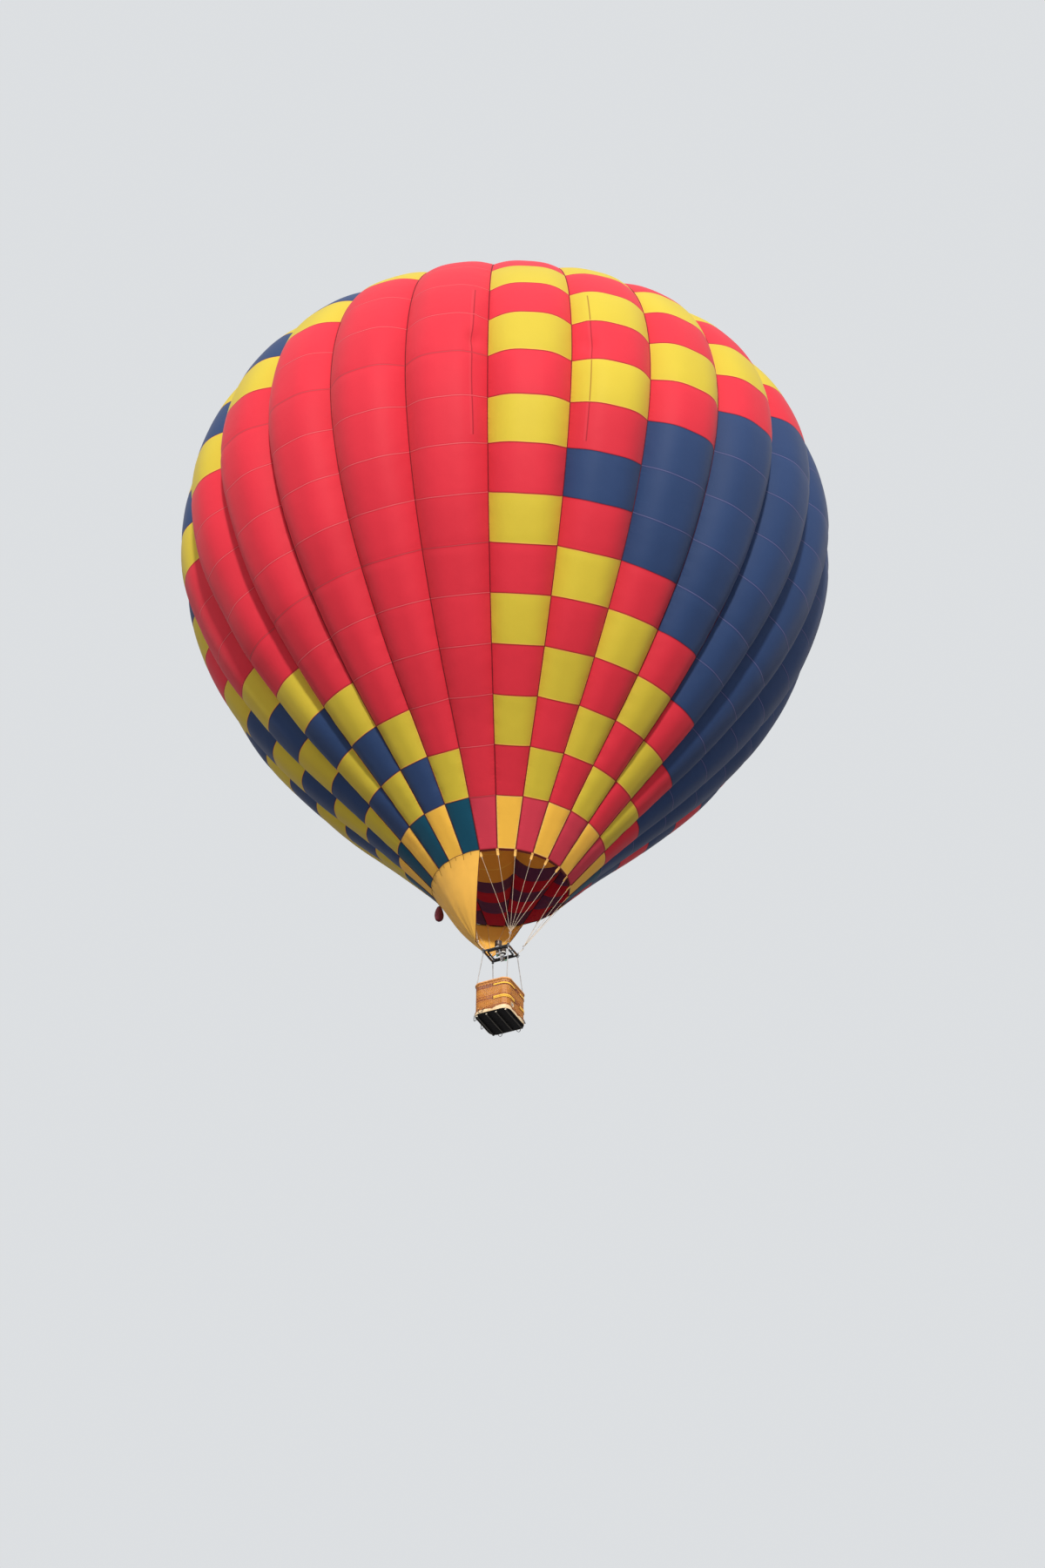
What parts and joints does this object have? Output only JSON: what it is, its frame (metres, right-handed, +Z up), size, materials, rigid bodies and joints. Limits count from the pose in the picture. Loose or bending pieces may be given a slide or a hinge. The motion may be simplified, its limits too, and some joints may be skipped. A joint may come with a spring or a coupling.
{
  "type": "hot air balloon",
  "caption": "Hot air balloon: round gored fabric envelope with a parachute vent, wire rigging, scoop, load frame, gimballed double burner and a wicker basket.",
  "frame": {"origin": "on the envelope's axis at its widest circle", "axes": "+Z up along the envelope's axis, Y along the basket's long side, -X to the scoop's side"},
  "size_m": [19.4758, 19.4758, 24.3882],
  "materials": {
    "red_cloth": "coated ripstop cloth, slight sheen",
    "yellow_cloth": "coated ripstop cloth, slight sheen",
    "blue_cloth": "coated ripstop cloth, slight sheen",
    "heatproof_cloth": "matt heat-proof cloth",
    "webbing": "woven polyester tape",
    "wire_steel": "stainless wire rope",
    "dark_tube": "satin black tube",
    "burner_steel": "brushed steel and brass valves",
    "coil_can": "heat-stained steel",
    "padding": "laced padded cover",
    "wicker": "varnished willow and cane",
    "hide": "pale suede hide",
    "plywood": "black sealed plywood",
    "tank_alloy": "brushed aluminium",
    "bag_cloth": "woven maroon cloth"
  },
  "bodies": {
    "root": {"gore_01": "blue_cloth", "gore_02": "blue_cloth", "gore_03": "blue_cloth", "gore_04": "blue_cloth", "gore_05": "blue_cloth", "gore_06": "blue_cloth", "gore_07": "blue_cloth", "gore_08": "blue_cloth", "gore_09": "yellow_cloth", "gore_10": "yellow_cloth", "gore_11": "yellow_cloth", "gore_12": "yellow_cloth", "gore_13": "yellow_cloth", "gore_14": "yellow_cloth", "gore_15": "yellow_cloth", "gore_16": "yellow_cloth", "gore_17": "red_cloth", "gore_18": "red_cloth", "gore_19": "red_cloth", "gore_20": "red_cloth", "gore_21": "red_cloth", "gore_22": "red_cloth", "gore_23": "red_cloth", "gore_24": "red_cloth", "crown_tapes": "webbing", "mouth_band": "webbing", "rigging_front_right": "wire_steel", "rigging_back_right": "wire_steel", "rigging_back_left": "wire_steel", "rigging_front_left": "wire_steel", "scoop": "heatproof_cloth", "line_bag": "bag_cloth", "load_frame": "dark_tube", "upright_front_right": "padding", "upright_back_right": "padding", "upright_back_left": "padding", "upright_front_left": "padding", "basket_wall": "wicker", "basket_rim": "hide", "basket_floor": "plywood", "hide_skirt": "hide", "tank_front_right": "tank_alloy", "tank_back_right": "tank_alloy", "tank_back_left": "tank_alloy"},
    "vent": {"parachute_vent": "yellow_cloth"},
    "gimbal": {"gimbal_frame": "dark_tube"},
    "burner": {"burner_block": "burner_steel", "burner_can_front": "coil_can", "burner_can_back": "coil_can"}
  },
  "joints": [
    {"name": "vent_slide", "type": "slide", "parent": "root", "child": "vent", "axis": [0, 0, -1], "range_m": [0, 1.2]},
    {"name": "gimbal_pitch", "type": "hinge", "parent": "root", "child": "gimbal", "pos_m": [0, 0, -14.92918], "axis": [1, 0, 0], "range_deg": [-15, 15]},
    {"name": "burner_roll", "type": "hinge", "parent": "gimbal", "child": "burner", "pos_m": [0, 0, -14.92918], "axis": [0, 1, 0], "range_deg": [-15, 15]}
  ]
}
